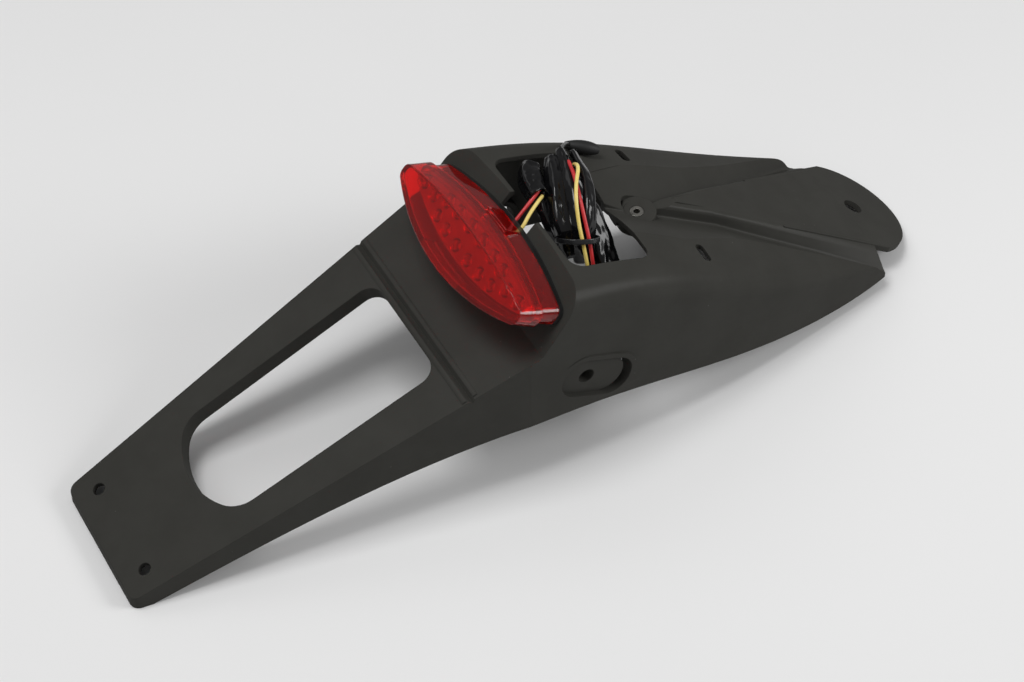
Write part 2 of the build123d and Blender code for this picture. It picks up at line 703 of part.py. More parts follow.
# Board with its emitters, and the reflector with one cup for each
board_inset = LENS_STEP_INSET + LENS_WALL + LAMP_CLEARANCE
board_middle = (0, SCREW_RISE, BOARD_BACK)
board_room = (2 * (LAMP_FRONT_OUTLINE[0] - board_inset - LAMP_CLEARANCE), REACH, REACH)
with BuildPart() as led_board:
    extrude(lamp_outline(BOARD_BACK, board_inset), amount=BOARD_THICKNESS)
    add(lamp_box(board_middle, board_room), mode=Mode.INTERSECT)
led_board.part.label = "led_board"
export_step(led_board.part, "parts/led_board.step")

board_front = BOARD_BACK + BOARD_THICKNESS
with BuildPart(lamp_plane) as led_emitters:
    with Locations(*[(x, y, board_front) for x, y in EMITTERS]):
        Cylinder(EMITTER_RADIUS, EMITTER_RADIUS, align=FOOT)
    outward = Axis(lamp_plane.origin, lamp_plane.z_dir)
    fillet(led_emitters.edges().filter_by(GeomType.CIRCLE).group_by(outward)[-1], EMITTER_RADIUS / 2)
led_emitters.part.label = "led_emitters"
export_step(led_emitters.part, "parts/led_emitters.step")

reflector_front = board_front + REFLECTOR_THICKNESS
with BuildPart() as led_reflector:
    loft([lamp_outline(board_front, board_inset), lamp_outline(reflector_front, board_inset)], ruled=True)
    add(lamp_box(board_middle, board_room), mode=Mode.INTERSECT)
    with Locations(lamp_plane):
        with Locations(*[(x, y, board_front) for x, y in EMITTERS]):
            Cone(CUP_FLOOR_RADIUS, CUP_RADIUS, REFLECTOR_THICKNESS, align=FOOT, mode=Mode.SUBTRACT)
led_reflector.part.label = "led_reflector"
export_step(led_reflector.part, "parts/led_reflector.step")

# Brass insert, flange up, with a plain core hole where its thread is cut
with BuildPart() as threaded_insert:
    with Locations((station(INSERT_RUN), 0, INSERT_HEIGHT - INSERT_LENGTH)):
        Cylinder(INSERT_RADIUS, INSERT_LENGTH, align=FOOT)
    with Locations((station(INSERT_RUN), 0, INSERT_HEIGHT - INSERT_FLANGE)):
        Cylinder(INSERT_FLANGE_RADIUS, INSERT_FLANGE, align=FOOT)
    with Locations((station(INSERT_RUN), 0, INSERT_HEIGHT)):
        Cylinder(INSERT_BORE_DIAMETER / 2, REACH, mode=Mode.SUBTRACT)
threaded_insert.part.label = "threaded_insert"
export_step(threaded_insert.part, "parts/threaded_insert.step")


def place(point):
    """Model place of a point given as run, Y and height."""
    return Vector(station(point[0]), point[1], point[2])


def bend_radius(points):
    """Largest radius that all corners of a wire route have room for."""
    radii = []
    for before, corner, after in zip(points, points[1:], points[2:]):
        arrive = corner - before
        leave = after - corner
        turn = radians(arrive.get_angle(leave))
        radii.append(0.45 * min(arrive.length, leave.length) / tan(turn / 2))
    return min(radii)


def cord(route, radius):
    """Round wire along a route of points, with straight runs and tangent bends."""
    points = [place(point) for point in route]
    with BuildPart() as tube:
        with BuildLine() as path:
            FilletPolyline(*points, radius=bend_radius(points))
        with BuildSketch(Plane(origin=points[0], z_dir=points[1] - points[0])):
            Circle(radius)
        sweep(path=path.wires()[0])
    print("bend radius", round(bend_radius(points), 1), "length", round(path.wires()[0].length, 1))
    return tube.part


def bundle(rows):
    """Soft oval bundle: run, Y and height of each section's middle, then its two half-sizes."""
    middles = [place(row[:3]) for row in rows]
    with BuildPart() as shape:
        for number, row in enumerate(rows):
            before = middles[max(number - 1, 0)]
            after = middles[min(number + 1, len(rows) - 1)]
            with BuildSketch(Plane(origin=middles[number], x_dir=BUNDLE_SIDE, z_dir=after - before)):
                Ellipse(row[3], row[4])
        loft()
    return shape.part


# Wires: lamp leads into the sleeve, tail leads over the hank and down into the hood, boot lead
wire_routes = {
    "wire_red_lamp": (RED_LAMP_ROUTE, WIRE_DIAMETER / 2),
    "wire_yellow_lamp": (YELLOW_LAMP_ROUTE, WIRE_DIAMETER / 2),
    "wire_red_tail": (RED_TAIL_ROUTE, WIRE_DIAMETER / 2),
    "wire_yellow_tail": (YELLOW_TAIL_ROUTE, WIRE_DIAMETER / 2),
    "wire_black_lead": (BOOT_LEAD_ROUTE, WIRE_DIAMETER / 2),
}
wires = {}
for name, (route, radius) in wire_routes.items():
    wires[name] = cord(route, radius)
    wires[name].label = name
    export_step(wires[name], f"parts/{name}.step")

# The lamp leads pass through the base and cross its gasket
lamp_leads = [wires["wire_red_lamp"], wires["wire_yellow_lamp"]]
with BuildPart() as drilled_base:
    add(lamp_base.part)
    add(lamp_leads, mode=Mode.SUBTRACT)
drilled_base.part.label = "lamp_base"
export_step(drilled_base.part, "parts/lamp_base.step")

with BuildPart() as notched_gasket:
    add(lamp_gasket.part)
    add(lamp_leads, mode=Mode.SUBTRACT)
notched_gasket.part.label = "lamp_gasket"
export_step(notched_gasket.part, "parts/lamp_gasket.step")

# Folded loom in its black sleeve, pressed into shape by the opening's rim and by the wires
with BuildPart() as loom_hank:
    add(bundle(HANK_SECTIONS))
    add(tail_body.part, mode=Mode.SUBTRACT)
    add(list(wires.values()), mode=Mode.SUBTRACT)
loom_hank.part.label = "loom_hank"
export_step(loom_hank.part, "parts/loom_hank.step")

with BuildPart() as loom_sleeve:
    add(bundle(SLEEVE_SECTIONS))
    add(tail_body.part, mode=Mode.SUBTRACT)
    add(loom_hank.part, mode=Mode.SUBTRACT)
    add(list(wires.values()), mode=Mode.SUBTRACT)
loom_sleeve.part.label = "loom_sleeve"
export_step(loom_sleeve.part, "parts/loom_sleeve.step")

# Cable tie around the hank, with its head
tie_row = HANK_SECTIONS[1]
tie_way = place(HANK_SECTIONS[2][:3]) - place(HANK_SECTIONS[0][:3])
tie_plane = Plane(origin=place(tie_row[:3]), x_dir=BUNDLE_SIDE, z_dir=tie_way)
with BuildPart() as cable_tie:
    with BuildSketch(tie_plane):
        Ellipse(tie_row[3] + TIE_THICKNESS, tie_row[4] + TIE_THICKNESS)
    extrude(amount=TIE_WIDTH / 2, both=True)
    with Locations(tie_plane):
        with Locations((0, tie_row[4] + TIE_THICKNESS, 0)):
            Box(TIE_HEAD, TIE_HEAD, TIE_HEAD)
    add(bundle(HANK_SECTIONS), mode=Mode.SUBTRACT)
    add(list(wires.values()), mode=Mode.SUBTRACT)
    add(tail_body.part, mode=Mode.SUBTRACT)
cable_tie.part.label = "cable_tie"
export_step(cable_tie.part, "parts/cable_tie.step")

with BuildPart() as connector_boot:
    add(bundle(BOOT_SECTIONS))
    add(tail_body.part, mode=Mode.SUBTRACT)
    add(wires["wire_black_lead"], mode=Mode.SUBTRACT)
connector_boot.part.label = "connector_boot"
export_step(connector_boot.part, "parts/connector_boot.step")
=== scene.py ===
"""Looks of the tail tidy: finishes, wiring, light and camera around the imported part, in metres."""
from math import cos, pi, sin

import bpy
from mathutils import Matrix, Vector


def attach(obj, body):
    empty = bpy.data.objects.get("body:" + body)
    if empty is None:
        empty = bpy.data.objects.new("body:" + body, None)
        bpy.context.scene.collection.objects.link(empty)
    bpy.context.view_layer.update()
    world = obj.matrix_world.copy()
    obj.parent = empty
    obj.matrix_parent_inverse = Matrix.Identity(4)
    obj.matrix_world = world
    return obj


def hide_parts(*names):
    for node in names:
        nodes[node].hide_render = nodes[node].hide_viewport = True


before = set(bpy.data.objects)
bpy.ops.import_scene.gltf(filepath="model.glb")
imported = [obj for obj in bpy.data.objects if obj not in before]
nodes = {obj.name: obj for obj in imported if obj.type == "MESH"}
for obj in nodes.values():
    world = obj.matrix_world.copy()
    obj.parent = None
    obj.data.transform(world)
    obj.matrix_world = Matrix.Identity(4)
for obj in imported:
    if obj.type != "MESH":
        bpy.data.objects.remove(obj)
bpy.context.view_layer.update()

# Sizes of the part and its wiring, in millimetres
MIDDLE_RUN = 232.75
WIRE_DIAMETER = 1.9
SLEEVE_WALL = 0.6
MERGE_DISTANCE = 0.01
TIE_MIDDLE = (257.0, -16.0, 103.0)
TIE_HALF_WIDTH = 9.8
TIE_HALF_DEPTH = 8.2
TIE_STRAP_WIDTH = 2.6
TIE_STRAP_THICKNESS = 1.2
TIE_EDGE = 0.3
LATCH_SIZE = (4.6, 3.4, 4.6)
LATCH_OFFSET = 9.6

MM = 0.001


def at(run, across, height):
    """Place of a point given in millimetres from the plate end, across and up."""
    return Vector(((run - MIDDLE_RUN) * MM, across * MM, height * MM))


def turned(first, second, third):
    """The turn that lays X, Y and Z along three directions."""
    return Matrix((first, second, third)).transposed().to_4x4()


# Surface effects of the finishes


def add_node(tree, kind, values=None, **settings):
    """A shader node with its settings and the values of its sockets."""
    made = tree.nodes.new("ShaderNode" + kind)
    for key, value in settings.items():
        setattr(made, key, value)
    for key, value in (values or {}).items():
        made.inputs[key].default_value = value
    return made


def effect_group(name, inputs, outputs):
    """An empty surface effect with a place, its own inputs and its outputs."""
    group = bpy.data.node_groups.new(name, "ShaderNodeTree")
    group.interface.new_socket("Place", in_out="INPUT", socket_type="NodeSocketVector")
    for label, value in inputs.items():
        socket = group.interface.new_socket(label, in_out="INPUT", socket_type="NodeSocketFloat")
        socket.default_value = value
    for label in outputs:
        group.interface.new_socket(label, in_out="OUTPUT", socket_type="NodeSocketFloat")
    return group, group.nodes.new("NodeGroupInput"), group.nodes.new("NodeGroupOutput")


def ramp(tree, low, high):
    """A soft step from 0 at low to 1 at high."""
    ends = {"From Min": low, "From Max": high}
    return add_node(tree, "MapRange", ends, interpolation_type="SMOOTHSTEP")


def moulded_grain():
    """Fine spark-eroded texture of a mould, and the faint cloudiness of the plastic."""
    group, given, out = effect_group(
        "moulded_grain", {"Grain": 1900.0, "Cloud": 45.0}, ("Height", "Mottle")
    )
    fine = add_node(group, "TexNoise", {"Detail": 2.0, "Roughness": 0.6})
    pits = add_node(group, "TexVoronoi", feature="SMOOTH_F1")
    cloud = add_node(group, "TexNoise", {"Detail": 6.0, "Roughness": 0.62})
    both = add_node(group, "Math", {1: 0.6}, operation="MULTIPLY_ADD")
    for texture, scale in ((fine, "Grain"), (pits, "Grain"), (cloud, "Cloud")):
        group.links.new(given.outputs["Place"], texture.inputs["Vector"])
        group.links.new(given.outputs[scale], texture.inputs["Scale"])
    group.links.new(pits.outputs["Distance"], both.inputs[0])
    group.links.new(fine.outputs["Fac"], both.inputs[2])
    group.links.new(both.outputs[0], out.inputs["Height"])
    group.links.new(cloud.outputs["Fac"], out.inputs["Mottle"])
    return group


def handling_scuffs():
    """Sparse thin scratches in two directions, gathered in patches."""
    group, given, out = effect_group("handling_scuffs", {"Amount": 0.5}, ("Mask",))
    directions = (
        {"Rotation": (0.2, 0.4, 0.7), "Scale": (14.0, 420.0, 420.0)},
        {"Rotation": (0.6, 0.1, 2.1), "Scale": (18.0, 500.0, 500.0)},
    )
    most = add_node(group, "Math", operation="MAXIMUM")
    for number, direction in enumerate(directions):
        mapping = add_node(group, "Mapping", direction)
        noise = add_node(group, "TexNoise", {"Scale": 1.0, "Detail": 3.0, "Roughness": 0.55})
        step = ramp(group, 0.67, 0.76)
        group.links.new(given.outputs["Place"], mapping.inputs["Vector"])
        group.links.new(mapping.outputs["Vector"], noise.inputs["Vector"])
        group.links.new(noise.outputs["Fac"], step.inputs["Value"])
        group.links.new(step.outputs["Result"], most.inputs[number])
    patch = add_node(group, "TexNoise", {"Scale": 19.0, "Detail": 3.0})
    patch_step = ramp(group, 0.5, 0.72)
    inside = add_node(group, "Math", operation="MULTIPLY")
    scaled = add_node(group, "Math", operation="MULTIPLY")
    group.links.new(given.outputs["Place"], patch.inputs["Vector"])
    group.links.new(patch.outputs["Fac"], patch_step.inputs["Value"])
    group.links.new(most.outputs[0], inside.inputs[0])
    group.links.new(patch_step.outputs["Result"], inside.inputs[1])
    group.links.new(inside.outputs[0], scaled.inputs[0])
    group.links.new(given.outputs["Amount"], scaled.inputs[1])
    group.links.new(scaled.outputs[0], out.inputs["Mask"])
    return group


def settled_dust():
    """Single pale specks of dust."""
    group, given, out = effect_group("settled_dust", {"Spread": 160.0}, ("Mask",))
    cells = add_node(group, "TexVoronoi", feature="F1")
    dot = ramp(group, 0.05, 0.02)
    pick = add_node(group, "SeparateColor")
    some = ramp(group, 0.82, 0.86)
    both = add_node(group, "Math", operation="MULTIPLY")
    group.links.new(given.outputs["Place"], cells.inputs["Vector"])
    group.links.new(given.outputs["Spread"], cells.inputs["Scale"])
    group.links.new(cells.outputs["Distance"], dot.inputs["Value"])
    group.links.new(cells.outputs["Color"], pick.inputs["Color"])
    group.links.new(pick.outputs["Red"], some.inputs["Value"])
    group.links.new(dot.outputs["Result"], both.inputs[0])
    group.links.new(some.outputs["Result"], both.inputs[1])
    group.links.new(both.outputs[0], out.inputs["Mask"])
    return group


GRAIN = moulded_grain()
SCUFFS = handling_scuffs()
DUST = settled_dust()


# Finishes


class Finish:
    """A material with a Principled shader, its object coordinates, and ways to vary it."""

    def __init__(self, name, **sockets):
        self.material = bpy.data.materials.new(name)
        self.material.use_nodes = True
        self.tree = self.material.node_tree
        self.shader = self.tree.nodes["Principled BSDF"]
        self.place = add_node(self.tree, "TexCoord").outputs["Object"]
        for label, value in sockets.items():
            self.shader.inputs[label.replace("_", " ")].default_value = value

    def effect(self, group, **values):
        """A surface effect with this finish's own values."""
        made = self.tree.nodes.new("ShaderNodeGroup")
        made.node_tree = group
        for label, value in values.items():
            made.inputs[label].default_value = value
        self.tree.links.new(self.place, made.inputs["Place"])
        return made

    def noise(self, scale, detail=3.0, stretch=None):
        """Uneven cloud over the surface, stretched into streaks where asked."""
        made = add_node(self.tree, "TexNoise", {"Scale": scale, "Detail": detail})
        if stretch is None:
            self.tree.links.new(self.place, made.inputs["Vector"])
        else:
            mapping = add_node(self.tree, "Mapping", {"Scale": stretch})
            self.tree.links.new(self.place, mapping.inputs["Vector"])
            self.tree.links.new(mapping.outputs["Vector"], made.inputs["Vector"])
        return made.outputs["Fac"]

    def tint(self, mask, first, second, low=0.3, high=0.7):
        """Base colour that goes from first to second as the mask goes from low to high."""
        step = ramp(self.tree, low, high)
        mix = add_node(self.tree, "Mix", data_type="RGBA")
        self.tree.links.new(mask, step.inputs["Value"])
        self.tree.links.new(step.outputs["Result"], mix.inputs["Factor"])
        for socket, colour in ((mix.inputs["A"], first), (mix.inputs["B"], second)):
            if isinstance(colour, tuple):
                socket.default_value = (*colour, 1.0)
            else:
                self.tree.links.new(colour, socket)
        self.tree.links.new(mix.outputs["Result"], self.shader.inputs["Base Color"])
        return mix.outputs["Result"]

    def roughness(self, mask, at_zero, at_one):
        """Roughness that follows the mask."""
        spread = add_node(self.tree, "MapRange", {"To Min": at_zero, "To Max": at_one})
        self.tree.links.new(mask, spread.inputs["Value"])
        self.tree.links.new(spread.outputs["Result"], self.shader.inputs["Roughness"])

    def bump(self, height, strength, distance, edge=None):
        """Fine relief, and edges that look rounded, with depth and radius in millimetres."""
        made = add_node(self.tree, "Bump", {"Strength": strength, "Distance": distance * MM})
        self.tree.links.new(height, made.inputs["Height"])
        if edge is not None:
            rounded = add_node(self.tree, "Bevel", {"Radius": edge * MM}, samples=8)
            self.tree.links.new(rounded.outputs["Normal"], made.inputs["Normal"])
        self.tree.links.new(made.outputs["Normal"], self.shader.inputs["Normal"])


def charcoal_plastic():
    """Matt black moulding: fine texture, faint clouds, a few scuffs and specks."""
    finish = Finish(
        "charcoal_plastic",
        Specular_IOR_Level=0.0,
        Coat_Weight=0.11,
        Coat_Roughness=0.3,
        Coat_IOR=1.5,
    )
    grain = finish.effect(GRAIN)
    scuffs = finish.effect(SCUFFS, Amount=0.55)
    dust = finish.effect(DUST)
    mottle = grain.outputs["Mottle"]
    tone = finish.tint(mottle, (0.0385, 0.0378, 0.034), (0.043, 0.0423, 0.0382))
    tone = finish.tint(scuffs.outputs["Mask"], tone, (0.06, 0.06, 0.055), 0.0, 1.0)
    finish.tint(dust.outputs["Mask"], tone, (0.16, 0.16, 0.15), 0.0, 1.6)
    finish.roughness(mottle, 0.4, 0.54)
    finish.bump(grain.outputs["Height"], 0.3, 0.1, edge=0.9)
    return finish.material


def red_lens():
    """Deep red lens, mostly clear, with a polished face."""
    finish = Finish("red_lens", Transmission_Weight=0.92, IOR=1.46, Roughness=0.06)
    wave = finish.noise(55.0, 2.0)
    finish.tint(wave, (0.93, 0.016, 0.014), (0.98, 0.026, 0.022))
    finish.bump(finish.noise(260.0, 1.0), 0.05, 0.08, edge=0.7)
    return finish.material


def clear_window():
    """Clear plastic window with a faint frost."""
    finish = Finish("clear_window", Transmission_Weight=1.0, IOR=1.49, Roughness=0.12)
    finish.tint(finish.noise(300.0), (0.9, 0.9, 0.92), (0.96, 0.96, 0.97))
    finish.bump(finish.noise(1500.0, 1.0), 0.1, 0.04)
    return finish.material


def lamp_black():
    """Smooth black plastic of the lamp's back."""
    finish = Finish("lamp_black", IOR=1.5)
    grain = finish.effect(GRAIN, Grain=3200.0)
    mottle = grain.outputs["Mottle"]
    finish.tint(mottle, (0.008, 0.008, 0.008), (0.014, 0.014, 0.014))
    finish.roughness(mottle, 0.3, 0.45)
    finish.bump(grain.outputs["Height"], 0.12, 0.06, edge=0.4)
    return finish.material


def gasket_foam():
    """Closed-cell rubber seal with fine pores."""
    finish = Finish("gasket_foam", IOR=1.45)
    grain = finish.effect(GRAIN, Grain=1400.0)
    mottle = grain.outputs["Mottle"]
    finish.tint(mottle, (0.012, 0.012, 0.012), (0.024, 0.024, 0.023))
    finish.roughness(mottle, 0.8, 0.95)
    finish.bump(grain.outputs["Height"], 0.6, 0.25)
    return finish.material


def board_lacquer():
    """Green solder lacquer over copper tracks."""
    finish = Finish("board_lacquer", IOR=1.5)
    tracks = add_node(finish.tree, "TexBrick", {"Scale": 120.0, "Mortar Size": 0.06})
    finish.tree.links.new(finish.place, tracks.inputs["Vector"])
    finish.tint(tracks.outputs["Fac"], (0.012, 0.085, 0.03), (0.03, 0.16, 0.06), 0.0, 1.0)
    finish.roughness(finish.noise(400.0), 0.2, 0.4)
    finish.bump(tracks.outputs["Fac"], 0.3, 0.06)
    return finish.material


def emitter_resin():
    """Pale resin dome of a light-emitting diode."""
    finish = Finish("emitter_resin", IOR=1.5, Roughness=0.18, Subsurface_Weight=0.3)
    finish.tint(finish.noise(700.0), (0.85, 0.8, 0.62), (0.95, 0.93, 0.85), 0.35, 0.65)
    finish.bump(finish.noise(1200.0), 0.1, 0.05)
    return finish.material


def plated_reflector():
    """Bright metal-plated plastic with slight ripples."""
    finish = Finish("plated_reflector", Metallic=1.0, IOR=1.5)
    finish.tint(finish.noise(120.0), (0.78, 0.78, 0.8), (0.9, 0.9, 0.91))
    finish.roughness(finish.noise(500.0), 0.1, 0.26)
    finish.bump(finish.noise(260.0, 1.0), 0.16, 0.2, edge=0.4)
    return finish.material


def screw_steel():
    """Zinc-plated steel with turning marks."""
    finish = Finish("screw_steel", Metallic=1.0)
    finish.tint(finish.noise(200.0), (0.46, 0.46, 0.47), (0.62, 0.62, 0.6))
    marks = finish.noise(1.0, 2.0, stretch=(300.0, 300.0, 4000.0))
    finish.roughness(marks, 0.22, 0.42)
    finish.bump(marks, 0.15, 0.05, edge=0.25)
    return finish.material


def insert_metal():
    """Dull machined metal of the threaded insert, with turning marks."""
    finish = Finish("insert_metal", Metallic=1.0)
    finish.tint(finish.noise(260.0), (0.2, 0.195, 0.18), (0.36, 0.35, 0.32))
    marks = finish.noise(1.0, 2.0, stretch=(400.0, 400.0, 5000.0))
    finish.roughness(marks, 0.2, 0.42)
    finish.bump(marks, 0.2, 0.06, edge=0.3)
    return finish.material


def glossy_sleeving():
    """Shiny thin black sleeving, slightly drawn."""
    finish = Finish("glossy_sleeving", IOR=1.4)
    pull = finish.noise(1.0, 2.0, stretch=(190.0, 90.0, 120.0))
    finish.tint(pull, (0.0025, 0.0025, 0.003), (0.006, 0.006, 0.0065))
    finish.roughness(finish.noise(160.0), 0.07, 0.2)
    finish.bump(pull, 0.2, 0.5)
    return finish.material


def boot_rubber():
    """Dull black rubber of the connector boot."""
    finish = Finish("boot_rubber", IOR=1.45)
    grain = finish.effect(GRAIN, Grain=2600.0)
    mottle = grain.outputs["Mottle"]
    finish.tint(mottle, (0.006, 0.006, 0.006), (0.011, 0.011, 0.011))
    finish.roughness(mottle, 0.5, 0.7)
    finish.bump(grain.outputs["Height"], 0.15, 0.08, edge=0.5)
    return finish.material


def tie_nylon():
    """Black nylon of the tie, with a slight unevenness."""
    finish = Finish("tie_nylon", IOR=1.53)
    finish.tint(finish.noise(150.0), (0.006, 0.006, 0.007), (0.013, 0.013, 0.014))
    finish.roughness(finish.noise(300.0), 0.2, 0.34)
    finish.bump(finish.noise(800.0, 1.0), 0.15, 0.08, edge=0.4)
    return finish.material


def wire_insulation(name, dark, light):
    """Soft wire insulation with a waxy gloss and slight handling marks."""
    finish = Finish(name, IOR=1.5, Subsurface_Weight=0.05)
    finish.tint(finish.noise(90.0, 4.0), dark, light)
    finish.roughness(finish.noise(400.0), 0.26, 0.42)
    finish.bump(finish.noise(700.0, 2.0), 0.12, 0.06)
    return finish.material


finishes = {
    "body_plastic": charcoal_plastic(),
    "lens_red": red_lens(),
    "window_clear": clear_window(),
    "lamp_black": lamp_black(),
    "gasket_rubber": gasket_foam(),
    "board_green": board_lacquer(),
    "emitter_clear": emitter_resin(),
    "reflector_chrome": plated_reflector(),
    "screw_steel": screw_steel(),
    "insert_brass": insert_metal(),
    "sleeve_black": glossy_sleeving(),
    "boot_rubber": boot_rubber(),
    "tie_black": tie_nylon(),
    "wire_red": wire_insulation("red_insulation", (0.5, 0.022, 0.028), (0.62, 0.035, 0.04)),
    "wire_yellow": wire_insulation("yellow_insulation", (0.76, 0.56, 0.13), (0.86, 0.68, 0.22)),
    "wire_black": wire_insulation("black_insulation", (0.007, 0.007, 0.007), (0.013, 0.013, 0.013)),
}
node_finish = {
    "tail_body": "body_plastic",
    "lamp_lens": "lens_red",
    "plate_light_window": "window_clear",
    "lamp_base": "lamp_black",
    "lamp_gasket": "gasket_rubber",
    "led_board": "board_green",
    "led_emitters": "emitter_clear",
    "led_reflector": "reflector_chrome",
    "lamp_screws": "screw_steel",
    "lamp_washers": "screw_steel",
    "threaded_insert": "insert_brass",
    "connector_boot": "boot_rubber",
}
for name, finish_name in node_finish.items():
    for slot in nodes[name].material_slots:
        slot.material = finishes[finish_name]


# Wiring

# Route of each wire, by run, across and height
WIRE_ROUTES = {
    "wire_red_lamp": ((219.0, 0.6, 100.0), (239.7, 4.2, 115.2), (250.5, 9.5, 118.2)),
    "wire_yellow_lamp": (
        (219.0, -5.5, 100.0),
        (232.5, -3.6, 109.8),
        (240.5, 1.0, 115.6),
        (250.5, 7.0, 115.6),
    ),
    "wire_red_tail": (
        (270.5, 16.6, 121.0),
        (268.6, 9.6, 123.2),
        (264.2, -4.6, 120.2),
        (261.6, -14.0, 114.4),
        (260.1, -23.0, 104.1),
        (258.0, -30.0, 94.0),
        (260.5, -33.0, 74.0),
    ),
    "wire_yellow_tail": (
        (272.5, 14.6, 119.5),
        (272.0, 8.6, 126.6),
        (262.2, -4.0, 124.8),
        (257.6, -14.8, 115.4),
        (256.3, -23.0, 105.1),
        (255.0, -30.5, 94.0),
        (257.0, -33.0, 74.0),
    ),
    "wire_black_lead": ((269.5, 23.5, 118.5), (279.0, 37.5, 113.0), (287.0, 43.0, 101.4)),
}
WIRE_FINISHES = {
    "wire_red_lamp": "wire_red",
    "wire_yellow_lamp": "wire_yellow",
    "wire_red_tail": "wire_red",
    "wire_yellow_tail": "wire_yellow",
    "wire_black_lead": "wire_black",
}
# Folded runs of sleeving in the hank: run, across, height and half-thickness
HANK_RUNS = {
    "fold_left": (
        (265.7, 25.2, 118.5, 3.2),
        (263.1, 18.9, 117.5, 4.6),
        (259.5, 9.6, 116.4, 5.2),
        (255.8, 1.2, 113.4, 5.4),
        (253.0, -7.5, 108.9, 5.4),
        (252.9, -11.8, 100.2, 5.0),
        (254.7, -12.0, 90.9, 4.6),
    ),
    "fold_middle": (
        (272.0, 27.4, 119.1, 2.2),
        (270.2, 20.3, 118.4, 3.4),
        (266.4, 9.0, 117.8, 4.2),
        (262.9, 0.0, 115.1, 4.6),
        (260.0, -8.0, 111.3, 4.6),
        (259.0, -13.7, 104.5, 4.6),
        (259.5, -15.2, 94.3, 4.4),
        (260.4, -15.0, 86.4, 4.0),
    ),
    "fold_right": (
        (276.4, 22.3, 119.3, 2.0),
        (275.3, 13.7, 119.0, 2.6),
        (273.3, 4.4, 118.6, 3.2),
        (270.2, -3.8, 116.3, 3.4),
        (266.8, -10.6, 113.1, 3.4),
        (263.8, -16.0, 108.4, 3.4),
        (261.9, -17.7, 99.7, 3.6),
        (262.2, -16.6, 88.4, 3.6),
    ),
    "fold_outer": (
        (250.6, 8.6, 111.6, 3.4),
        (249.4, 2.6, 108.5, 3.6),
        (249.3, -3.6, 103.8, 3.6),
        (250.7, -7.1, 95.7, 3.6),
        (253.4, -7.7, 85.4, 3.4),
    ),
    "fold_drop": (
        (270.0, 14.0, 112.0, 4.6),
        (272.5, 5.0, 100.0, 7.2),
        (272.5, -4.0, 91.0, 8.2),
        (271.5, -14.0, 83.0, 8.4),
        (270.5, -24.0, 76.0, 7.6),
        (270.0, -31.0, 70.0, 5.0),
    ),
}
# Pleats of each run: how many lobes, how deep, where they start, and how far they twist
HANK_PLEATS = (
    ("fold_left", (4, 0.16, 0.3), 0.7),
    ("fold_middle", (3, 0.2, 1.1), -0.5),
    ("fold_right", (3, 0.18, 2.0), 0.6),
    ("fold_outer", (4, 0.14, 0.9), -0.4),
    ("fold_drop", (5, 0.1, 0.5), 0.5),
)
# The sleeve's end, in the same way as the runs of the hank
SLEEVE_RUN = (
    (248.6, 6.0, 116.4, 5.2),
    (250.0, 11.5, 114.6, 5.6),
    (251.1, 18.4, 114.1, 6.2),
    (253.5, 24.5, 114.4, 6.2),
    (256.6, 28.0, 115.5, 4.6),
)
SLEEVE_PLEATS = (5, 0.12, 0.4)
SLEEVE_TWIST = 0.5
# The way the hank lies, and how much longer than wide its small folds are
HANK_LIE = (-0.3, -0.85, -0.45)
FOLD_STRETCH = (3.5, 1.0, 1.0)


def only(made):
    """Selects one object alone and makes it active."""
    bpy.ops.object.select_all(action="DESELECT")
    made.select_set(True)
    bpy.context.view_layer.objects.active = made


def apply(made, kind, **settings):
    """Adds a modifier to a piece and applies it."""
    only(made)
    modifier = made.modifiers.new(kind.lower(), kind)
    for key, value in settings.items():
        setattr(modifier, key, value)
    bpy.ops.object.modifier_apply(modifier=modifier.name)


def dress(made, node, finish_name):
    """Gives a piece its finish and puts it in the place of the node that it stands for."""
    made.data.materials.append(finishes[finish_name])
    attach(made, "root")
    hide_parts(node)
    return made


def smooth_line(name, places, steps):
    """A smooth open line that the given places steer."""
    curve = bpy.data.curves.new(name, "CURVE")
    curve.dimensions = "3D"
    spline = curve.splines.new("NURBS")
    spline.points.add(len(places) - 1)
    for point, place in zip(spline.points, places):
        point.co = (*place, 1.0)
    spline.order_u = 3
    spline.use_endpoint_u = True
    spline.resolution_u = steps
    made = bpy.data.objects.new(name, curve)
    bpy.context.collection.objects.link(made)
    return made


def wire(node):
    """One insulated wire along its route."""
    places = [at(*point) for point in WIRE_ROUTES[node]]
    made = smooth_line(node.replace("wire", "lead"), places, steps=24)
    made.data.bevel_depth = WIRE_DIAMETER / 2 * MM
    made.data.bevel_resolution = 6
    made.data.use_fill_caps = True
    return dress(made, node, WIRE_FINISHES[node])


def pleat_profile(lobes, depth, start):
    """Closed outline of gathered sleeving, with soft lobes, about one millimetre in radius."""
    curve = bpy.data.curves.new("pleat_profile", "CURVE")
    spline = curve.splines.new("NURBS")
    count = 4 * lobes
    spline.points.add(count - 1)
    for number, point in enumerate(spline.points):
        angle = 2 * pi * number / count
        ripple = depth * cos(lobes * angle + start) + 0.5 * depth * cos(2 * angle - start)
        reach = (1.0 + ripple) * MM
        point.co = (reach * cos(angle), reach * sin(angle), 0.0, 1.0)
    spline.use_cyclic_u = True
    spline.order_u = 4
    spline.resolution_u = 6
    made = bpy.data.objects.new("pleat_profile", curve)
    bpy.context.collection.objects.link(made)
    return made


